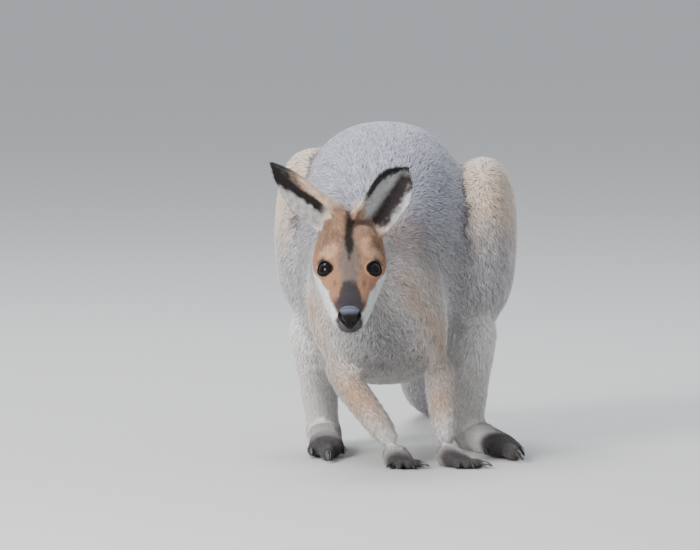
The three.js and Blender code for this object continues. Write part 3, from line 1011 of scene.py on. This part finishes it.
def coat_share(spot, part):
    """How much of the full density stands at each root, from 0 to 1."""
    keep = ramp(0.6 * MM, 2.5 * MM, spot.place[:, 2])
    if part == "head":
        _, y, z = spot.head.T
        for side in SIDES:
            reach, past, _ = lid_angles(spot.place, side)
            keep *= 1 - (reach < EYE_RADIUS * 1.9) * ramp(0.13, 0.06, past)
        keep *= ramp(1.0, 2.0, mouth_distance(spot.head))
        keep *= 1 - ramp(-64, -67, y) * (z > -14)
    if part_kind(part) == "ear":
        side = side_of(part)
        _, across, inside = ear_place(spot, side)
        keep *= 1 - 0.75 * inside * bell(across - EAR_BANDS[side][0], 0.45)
    return keep


def turned(start, end, angle):
    """Directions turned from start towards end by each one's angle."""
    return start * np.cos(angle)[:, None] + end * np.sin(angle)[:, None]


def tuft_paint(spot, tones, rng):
    """The colours of each tuft's five points, darker at the root, with odd dark and pale tufts."""
    count = len(spot.place)
    dark, light = tones
    flecks = PALE_FLECK * (rng.random(count) < FLECKED) - DARK_FLECK * (rng.random(count) < FLECKED)
    grizzled = 0.14 + 0.06 * spot.share("head")
    shade = 1 + rng.normal(0, 1, count) * grizzled + flecks + 0.07 * ripple(spot.place, 9, 57)
    shade = np.clip(shade, 0.3, 1.8)
    wide = 0.85 * dark + 0.15 * light
    along = np.array([dark, wide, wide, 0.5 * (dark + light), light])
    return coat_colours(spot)[:, None, :] * (shade[:, None] * along)[:, :, None]


def tuft_mesh(name, spot, lie, length, width, tones, cell, rng):
    """Closed tufts of five points each: root, three round the widest place, and tip."""
    count = len(spot.place)
    swirl = 0.3 * ripple(spot.place, 22, 41) + rng.normal(0, 0.32, count)
    lie = turned(lie, np.cross(lie, spot.normal), swirl)
    side = np.cross(lie, spot.normal)
    lift = 1 + rng.normal(0, 0.14, count)
    first = turned(lie, spot.normal, ROOT_LIFT * lift)
    then = turned(lie, spot.normal, TIP_LIFT * lift)
    length = (length * rng.uniform(0.78, 1.2, count) * MM)[:, None]
    half = (width * rng.uniform(0.75, 1.25, count) * MM / 2)[:, None]
    root = spot.place - first * length * TUFT_SUNK
    knee = spot.place + first * length * KNEE_AT
    ridge = knee + spot.normal * half * RIDGE_RISE
    tip = knee + then * length * (1 - KNEE_AT)
    point = np.stack([root, knee - side * half, knee + side * half, ridge, tip], 1)
    point[:, :, 2] = np.maximum(point[:, :, 2], LOWEST_HAIR)
    corners = (COAT_FACES[None] + 5 * np.arange(count)[:, None, None]).reshape(-1)
    mesh = bpy.data.meshes.new(name)
    mesh.vertices.add(count * 5)
    write(mesh.vertices, "co", point)
    mesh.loops.add(len(corners))
    write(mesh.loops, "vertex_index", corners, np.int32)
    mesh.polygons.add(count * 6)
    write(mesh.polygons, "loop_start", np.arange(0, len(corners), 3), np.int32)
    patch = (cell[:, None] + PATCH_CORNERS[None]).reshape(-1, 2)[corners]
    write(mesh.uv_layers.new(name="OFBake").data, "uv", patch)
    paint_mesh(mesh, tuft_paint(spot, tones, rng).reshape(-1, 3))
    mesh.update(calc_edges=True)
    mesh.shade_smooth()
    own = np.stack([-first, -side, side, spot.normal, then], 1)
    soft = unit((spot.normal[:, None] + OWN_NORMAL * own).reshape(-1, 3))
    mesh.normals_split_custom_set_from_vertices(soft.astype(np.float32))
    return mesh


def paint_mesh(mesh, colours):
    """Keeps a colour for each vertex, which the materials read."""
    layer = mesh.color_attributes.new("coat", "FLOAT_COLOR", "POINT")
    write(layer.data, "color", np.column_stack([np.clip(colours, 0, 1), np.ones(len(colours))]))


SOFT = (0.78, 1.14)  # how dark the roots and how light the tips of most tufts are
# Each coat's material slot: its material's name, the size and the tones of its speckle, its sheen,
# and the tones of its tufts' roots and tips.
FURS = {
    "grey_fur": ("grey_guard_hair", 1.6 * MM, (0.78, 1.2), 0.25, (0.76, 1.2)),
    "pale_fur": ("pale_guard_hair", 1.6 * MM, (0.85, 1.12), 0.3, SOFT),
    "tawny_fur": ("short_face_hair", 1.0 * MM, (0.84, 1.14), 0.15, SOFT),
    "dark_fur": ("short_paw_hair", 1.0 * MM, (0.8, 1.2), 0.1, SOFT),
}
# Coat pieces: the parts each covers, and its material slot.
COATS = {
    "coat_head": (["head"], "tawny_fur"),
    "coat_ears": (both_sides("ear"), "tawny_fur"),
    "coat_neck": (["neck"], "grey_fur"),
    "coat_trunk_left": (["trunk"], "grey_fur"),
    "coat_trunk_right": (["trunk"], "grey_fur"),
    "coat_tail": (["tail"], "grey_fur"),
    "coat_thigh_left": (["thigh_left"], "pale_fur"),
    "coat_thigh_right": (["thigh_right"], "pale_fur"),
    "coat_arms": (both_sides("upper_arm", "forearm"), "pale_fur"),
    "coat_shanks": (both_sides("shank"), "pale_fur"),
    "coat_paws": (both_sides("hand", "foot"), "dark_fur"),
}
MOST_TUFTS = 33000  # in one piece
COAT_SEED = 20


def build_coat(skin, name, parts, tones, seed):
    """One piece of the coat, thinned by chance to the most tufts a piece may hold."""
    rng = np.random.default_rng(seed)
    gathered = []
    for column, part in enumerate(parts):
        length, width, density = TUFTS[part_kind(part)]
        face, shares = skin.roots(skin.faces_of(part, name), density, rng)
        kept = rng.random(len(face)) < coat_share(skin.spot(face, shares), part)
        face, shares = face[kept], shares[kept]
        spot = skin.spot(face, shares)
        longer = coat_length(spot, part)
        wide = width * np.clip(longer, 0.7, 1.15)
        cell = chart(spot, part) * (1 - 2 * MAP_MARGIN) + MAP_MARGIN
        cell[:, 0] = (cell[:, 0] + column) / len(parts)
        gathered.append((face, shares, longer * length, wide, cell))
    face, shares, own, wide, cell = (np.concatenate(values) for values in zip(*gathered))
    kept = rng.permutation(len(face))[:MOST_TUFTS]
    spot = skin.spot(face[kept], shares[kept])
    lie = unit(skin.at(skin.lie, face[kept], shares[kept]))
    return tuft_mesh(name, spot, lie, own[kept], wide[kept], tones, cell[kept], rng)


# ---- eyes, nose and claws ----
def ball_mesh(name, rows, columns, shape):
    """A closed mesh: a unit ball around Z, whose points shape puts in their places."""
    body = bmesh.new()
    bmesh.ops.create_uvsphere(body, u_segments=columns, v_segments=rows, radius=1)
    for vertex, place in zip(body.verts, shape(np.array([v.co for v in body.verts]))):
        vertex.co = place
    return mesh_of(body, name)


def join_rings(body, rings):
    """Faces between each ring of vertices and the next."""
    for low, high in zip(rings, rings[1:]):
        for k in range(len(low)):
            after = (k + 1) % len(low)
            body.faces.new((low[k], low[after], high[after], high[k]))


CORNEA_RISE = 0.05
CORNEA_ANGLE = 0.62
PUPIL_ANGLE = 0.34
EYEBALL_SHARE = 0.985  # the ball's radius as a share of its CAD node's
IRIS_STREAKS = 23


def build_eye(side):
    """An eyeball whose pole looks out of the lids' opening, with a slightly raised cornea."""

    def in_socket(points):
        off = np.arccos(np.clip(points[:, 2:], -1, 1))
        rise = 1 + CORNEA_RISE * ramp(CORNEA_ANGLE, CORNEA_ANGLE * 0.5, off)
        away = points @ eye_frame(side) * EYE_RADIUS * EYEBALL_SHARE * rise
        return np.array(EYE_CENTRES[side]) + away

    mesh = ball_mesh(f"eye_ball_{side}", 40, 48, in_socket)
    away = from_eye(places(mesh), side)
    off = np.arccos(np.clip(unit(away) @ eye_frame(side)[2], -1, 1))
    streaks = 0.5 + 0.5 * np.sin(np.arctan2(away[:, 0], away[:, 1]) * IRIS_STREAKS)
    iris = srgb(20, 14, 12) * (0.8 + 0.4 * streaks[:, None])
    rim = CORNEA_ANGLE * 1.15
    layers = [
        (iris, off < rim),
        (srgb(8, 7, 8), ramp(PUPIL_ANGLE + 0.06, PUPIL_ANGLE - 0.02, off)),
        (srgb(12, 9, 9), bell(off - rim, 0.08)),
    ]
    paint_mesh(mesh, layered(srgb(13, 11, 12), layers))
    return mesh


SPIKE_SIDES = 4
SPIKE_STEPS = 4


def spike(body, start, bend, end, radius):
    """A closed tapering spike along a bent line, added to a bmesh."""
    line = []
    for t in np.linspace(0, 1, SPIKE_STEPS + 1):
        line.append(start * (1 - t) ** 2 + bend * 2 * t * (1 - t) + end * t * t)
    rings = []
    for i, centre in enumerate(line[:-1]):
        forward = (line[i + 1] - centre).normalized()
        side = forward.cross(Vector((0.3, 0.2, 1))).normalized()
        up = side.cross(forward)
        size = radius * (1 - i / SPIKE_STEPS) ** 0.8
        turns = [2 * math.pi * k / SPIKE_SIDES for k in range(SPIKE_SIDES)]
        ring = [centre + (side * math.cos(a) + up * math.sin(a)) * size for a in turns]
        rings.append([body.verts.new(place) for place in ring])
    join_rings(body, rings)
    body.faces.new(rings[0])
    tip = body.verts.new(line[-1])
    for k in range(SPIKE_SIDES):
        body.faces.new((rings[-1][k], rings[-1][(k + 1) % SPIKE_SIDES], tip))


RIM_STEPS = 72
RIM_SIDES = 8
LASHES = 22
LASH_RADIUS = 0.2 * MM
LASH_START = -6  # in degrees around the opening, from its back corner
LASH_SPAN = 58


def on_eyeball(side, around, past, height):
    """A place over the eyeball, past the lids' edge by an angle, in a direction around the opening."""
    off = float(lid_edge(np.array([around]))[0]) + past
    local = np.array([math.sin(off) * math.cos(around), math.sin(off) * math.sin(around), math.cos(off)])
    return EYE_CENTRES[side] + Vector(local @ eye_frame(side)) * (EYE_RADIUS + height)


def add_lashes(body, side):
    """The upper lid's lashes, which curl outwards and back."""
    rng = np.random.default_rng(5)
    back, _, out = map(Vector, eye_frame(side))
    for step in range(LASHES):
        around = math.radians(LASH_START + LASH_SPAN * step / (LASHES - 1)) + rng.normal(0, 0.03)
        long = (1.4 + 3.4 * math.cos(around) ** 4) * rng.uniform(0.8, 1.15) * MM
        start = on_eyeball(side, around, 0.07, 0.6 * MM)
        away = (start - EYE_CENTRES[side]).normalized()
        bend = start + (out * 0.35 + away * 0.6 + back * 0.25) * long * 0.6
        end = start + (out * 0.05 + away * 0.75 + back * 0.55 + Vector((0, 0, 0.25))) * long
        spike(body, start, bend, end, LASH_RADIUS)


def build_lids(side):
    """The bare dark rim of both lids, a thin ring on the eyeball's surface, with the upper lashes."""
    body = bmesh.new()
    rings = []
    for step in range(RIM_STEPS):
        around = 2 * math.pi * step / RIM_STEPS
        upper = float(ramp(-0.4, 0.5, math.sin(around)))
        wide, tall = 0.055 + 0.015 * upper, (0.22 + 0.2 * upper) * MM
        ring = []
        for turn in (2 * math.pi * k / RIM_SIDES for k in range(RIM_SIDES)):
            past, height = 0.01 + wide * math.cos(turn), 0.3 * MM + tall * math.sin(turn)
            ring.append(body.verts.new(on_eyeball(side, around, past, height)))
        rings.append(ring)
    join_rings(body, rings + rings[:1])
    add_lashes(body, side)
    return mesh_of(body, f"lids_{side}")


# Each nostril's curl on the nose pad seen square on: the place across, and the height on that view.
NOSTRIL = [(4.8, -48.0), (8.0, -44.6), (10.6, -40.0), (11.6, -36.5)]
NOSE_VIEW = (0, 0.669, 0.743)  # the view's upward direction, in the head's frame
NOSTRIL_DEPTH = 2.8  # in millimetres
CLEFT_DEPTH = 0.9
NOSE_MORE = [0, 5, 1.5]  # how far the pad runs on past its CAD node, into the muzzle and up


def build_nose():
    """The nose pad, broad above and narrow below, with nostrils and a cleft."""
    local = head_local(points_of("nose"))
    low, high = local.min(0), local.max(0) + NOSE_MORE
    centre, half = (low + high) / 2, (high - low) / 2

    def pad(points):
        x, y, z = points[:, 0], -points[:, 2], points[:, 1]
        lift = np.abs(z) ** 0.85 * np.sign(z)
        narrow = 0.34 + 0.66 * ramp(-1.0, 0.35, lift)
        broad = np.abs(x) ** 0.8 * np.sign(x)
        front = y < 0.01  # with the widest ring
        return np.stack([broad * narrow, y + 0.16 * lift * front, lift], 1) * half + centre

    mesh = ball_mesh("nose_pad", 72, 96, pad)
    local = places(mesh)
    front = ramp(-60, -66, local[:, 1])
    seen = np.stack([np.abs(local[:, 0]), local @ NOSE_VIEW], 1)
    curl = line_distance(seen, NOSTRIL)
    sink = front * (0.5 * bell(curl - 2.1, 0.9) - NOSTRIL_DEPTH * bell(curl, 1.0))
    sink -= CLEFT_DEPTH * bell(local[:, 0], 0.8) * ramp(1, -3, local[:, 2]) * front
    local = local + normals(mesh) * sink[:, None]
    turn = np.array(HEAD)
    set_places(mesh, local * MM @ turn[:3, :3].T + turn[:3, 3])
    # The pad's blue-grey top is a painted sheen of the sky; lower down is the pad's own near-black, and
    # the nostril slits are painted darkest as shade in the holes.
    layers = [(srgb(8, 7, 8), bell(curl, 1.3)), (srgb(13, 12, 14), ramp(-34, -41, seen[:, 1]))]
    paint_mesh(mesh, layered(srgb(92, 97, 112), layers))
    return mesh


CLAW_SUNK = 5 * MM  # how far each claw's root runs on into its toe


def sunk_root(name, toes):
    """The move of each of a claw's vertices that runs its root on into its toe."""
    claw = points_of(name)
    middle = claw.mean(0)
    root = main_axis(name, points_of(toes).mean(0) - middle)
    reach = float(np.max((claw - middle) @ root))

    def move(vertex):
        along = (np.array(vertex.co) - middle) @ root
        return Vector(root * CLAW_SUNK * float(ramp(0, reach, along)))

    return move


def build_claws(paw, side):
    """The claws of one paw, each smoothed from its CAD node, and the names of those nodes."""
    names = [name for name in NODES if name.startswith(f"claw_{paw}_{side}_")]
    body = bmesh.new()
    for name in names:
        add_node(body, name, sunk_root(name, f"{paw}_{side}"))
    mesh = with_modifier(mesh_of(body, f"claws_{paw}_{side}"), "SUBSURF", levels=2)
    mesh.shade_smooth()
    return mesh, names


WHISKERS = 6  # on each side, in two rows
WHISKER_LENGTH = (24, 36)  # in millimetres
WHISKER_RADIUS = 0.11 * MM

# On the left side, in the head's own frame and in millimetres.
WHISKER_ROOT = np.array([14.5, -62, -3])  # the first one's
WHISKER_COLUMN = np.array([1.5, 7, 0])  # the step along a row
WHISKER_ROW = np.array([0, 0, -3.6])  # the step to the lower row
WHISKER_WAY = np.array([0.75, 0.62, -0.18])  # outwards and back, where the upper row points
WHISKER_FALL = np.array([0, -0.1, -0.16])  # how the lower row's way differs
WHISKER_BOW = np.array([3, 0, 1.5])  # the middle's, off the straight line
WHISKER_SAG = np.array([0, 0, -4])  # the tip's


def build_whiskers():
    """Long fine whiskers from both upper lips."""
    body = bmesh.new()
    rng = np.random.default_rng(9)
    for side in SIDES.values():
        for step in range(WHISKERS):
            row, column = divmod(step, 3)
            root = WHISKER_ROOT + column * WHISKER_COLUMN + row * WHISKER_ROW
            long = rng.uniform(*WHISKER_LENGTH)
            way = unit(WHISKER_WAY + row * WHISKER_FALL + [0, 0, rng.normal(0, 0.06)]) * long
            line = root, root + way / 2 + WHISKER_BOW, root + way + WHISKER_SAG
            spike(body, *(head_world(side * x, y, z) for x, y, z in line), WHISKER_RADIUS)
    return mesh_of(body, "whiskers")


# ---- materials ----
def add_shader(tree, kind, **values):
    """A new shader node with values for its inputs, whose names have underscores for spaces."""
    node = tree.nodes.new(f"ShaderNode{kind}")
    set_inputs(node, **values)
    return node


def set_inputs(node, **values):
    for key, value in values.items():
        node.inputs[key.replace("_", " ")].default_value = value


def colour_source(tree, colour):
    """The coat's own colour at each point, or one colour where it is given."""
    if colour is None:
        node = add_shader(tree, "Attribute")
        node.attribute_name = "coat"
        return node.outputs["Color"]
    node = add_shader(tree, "RGB")
    node.outputs[0].default_value = (*colour, 1)
    return node.outputs[0]


def material(name, roughness, scale, tones, relief, colour=None, cells=None, **fixed):
    """A material made lighter and darker between two tones by noise of a scale.

    relief is its bump's strength and height, over the noise or over cells of their own scale, and
    fixed gives the shader's other constants."""
    made = bpy.data.materials.new(name)
    made.use_nodes = True
    tree = made.node_tree
    shader = tree.nodes["Principled BSDF"]
    set_inputs(shader, Roughness=roughness, **fixed)
    noise = add_shader(tree, "TexNoise", Scale=scale, Detail=3)
    steps = add_shader(tree, "MapRange", From_Min=0.3, From_Max=0.7, To_Min=tones[0], To_Max=tones[1])
    tree.links.new(noise.outputs["Fac"], steps.inputs["Value"])
    scaled = add_shader(tree, "VectorMath")
    scaled.operation = "SCALE"
    tree.links.new(colour_source(tree, colour), scaled.inputs[0])
    tree.links.new(steps.outputs["Result"], scaled.inputs["Scale"])
    tree.links.new(scaled.outputs[0], shader.inputs["Base Color"])
    if relief:
        height = noise.outputs["Fac"]
        if cells:
            height = add_shader(tree, "TexVoronoi", Scale=cells).outputs["Distance"]
        bump = add_shader(tree, "Bump", Strength=relief[0], Distance=relief[1])
        tree.links.new(height, bump.inputs["Height"])
        tree.links.new(bump.outputs["Normal"], shader.inputs["Normal"])
    return made


def fur_material(slot):
    name, size, tones, sheen, _ = FURS[slot]
    shine = {"Specular_IOR_Level": 0.25, "Sheen_Weight": sheen, "Sheen_Roughness": 0.45}
    return material(name, 0.72, 1 / size, tones, (0.25, 0.4 * MM), **shine)


def skin_material():
    shine = {"Specular_IOR_Level": 0.15, "Sheen_Weight": 0.2}
    return material("underfur", 0.9, 900, (0.78, 1.0), (0.6, 0.5 * MM), **shine)


def nose_material():
    shine = {"Specular_IOR_Level": 0.14, "Coat_Weight": 0.03, "Coat_Roughness": 0.2}
    return material("nose_leather", 0.45, 500, (0.8, 1.2), (0.5, 0.3 * MM), cells=1100, **shine)


def lid_material():
    tones, relief = (0.7, 1.2), (0.4, 0.1 * MM)
    return material("lid_skin", 0.75, 900, tones, relief, srgb(11, 9, 10), Specular_IOR_Level=0.04)


def claw_material():
    tones, relief = (0.6, 1.3), (0.4, 0.15 * MM)
    return material("claw_horn", 0.28, 300, tones, relief, srgb(40, 36, 38), Coat_Weight=0.4)


def whisker_material():
    return material("whisker_hair", 0.5, 500, (0.8, 1.2), (0.4, 0.02 * MM), srgb(150, 144, 140))


def floor_material():
    return material("floor_paper", 0.9, 3, (0.98, 1.02), (0.4, 0.1 * MM), srgb(200, 199, 196))


def eye_material():
    return material("eye_wet", 0.06, 700, (0.8, 1.2), None, Specular_IOR_Level=0.2)


# ---- stage, light and camera ----
CAMERA_AZIMUTH = math.radians(3)
CAMERA_ELEVATION = math.radians(4)
CAMERA_DISTANCE = 9.5
IMAGE_WIDTH = 700
FOCAL_PIXELS = 8650
AIM_FROM_EYES = Vector((-9.25, 185.83, -16.88)) * MM  # the view's middle, from the point between the eyes
FLOOR_SIZE = 240
LIT = (0, 0, 0.2)  # the lights point here


def build_camera():
    data = bpy.data.cameras.new("camera")
    data.sensor_width = 36
    data.lens = FOCAL_PIXELS / IMAGE_WIDTH * data.sensor_width
    data.clip_start = 0.1
    data.clip_end = 1000
    camera = new_object("camera", data)
    away = direction(CAMERA_AZIMUTH, CAMERA_ELEVATION)
    camera.location = BETWEEN_EYES + AIM_FROM_EYES + away * CAMERA_DISTANCE
    camera.rotation_euler = (-away).to_track_quat("-Z", "Y").to_euler()
    bpy.context.scene.camera = camera


def build_floor():
    mesh = bpy.data.meshes.new("floor")
    half = FLOOR_SIZE / 2
    corners = [(-half, -half, 0), (half, -half, 0), (half, half, 0), (-half, half, 0)]
    mesh.from_pydata(corners, [], [(0, 1, 2, 3)])
    mesh.materials.append(floor_material())
    new_object("floor", mesh)


def area_light(name, place, size, watts, colour):
    """A round light at a place, towards the object's middle."""
    data = bpy.data.lights.new(name, "AREA")
    data.shape = "DISK"
    data.size = size
    data.energy = watts
    data.color = colour
    light = new_object(name, data)
    light.location = place
    light.rotation_euler = (Vector(LIT) - Vector(place)).to_track_quat("-Z", "Y").to_euler()


def build_light():
    area_light("key", (-1.8, -3.2, 1.6), 1.4, 195, (1.0, 0.98, 0.96))
    area_light("top", (-0.6, 1.0, 3.2), 2.4, 115, (0.94, 0.96, 1.0))
    world = bpy.data.worlds.new("studio")
    world.use_nodes = True
    background = world.node_tree.nodes["Background"]
    set_inputs(background, Color=(0.86, 0.92, 1.0, 1), Strength=0.8)
    bpy.context.scene.world = world


# ---- all pieces ----
def keep_piece(mesh, slot, look, *replaced):
    """A mesh as a piece of its own, with its material and the CAD nodes it replaces, which it hides. slot
    is not used.
    """
    piece = new_object(mesh.name, mesh)
    piece.data.materials.clear()
    piece.data.materials.append(look)
    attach(piece, "root")
    if replaced:
        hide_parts(*replaced)


def build_all():
    mesh = build_skin()
    skin = Skin(mesh)
    paint_mesh(mesh, coat_colours(Spot(skin.place, skin.normal, skin.parts)))
    keep_piece(mesh, "grey_fur", skin_material(), *FLESH)
    looks = {slot: fur_material(slot) for slot in FURS}
    for seed, (name, (parts, slot)) in enumerate(COATS.items(), COAT_SEED):
        keep_piece(build_coat(skin, name, parts, FURS[slot][-1], seed), slot, looks[slot])
    lid, horn, wet = lid_material(), claw_material(), eye_material()
    for side in SIDES:
        keep_piece(build_eye(side), "eye", wet, f"eye_{side}")
        keep_piece(build_lids(side), "nose", lid)
        for paw in ("hand", "foot"):
            claws, names = build_claws(paw, side)
            keep_piece(claws, "claw", horn, *names)
    keep_piece(build_nose(), "nose", nose_material(), "nose")
    keep_piece(build_whiskers(), "dark_fur", whisker_material())


build_camera()
build_floor()
build_light()
build_all()
bpy.context.view_layer.update()
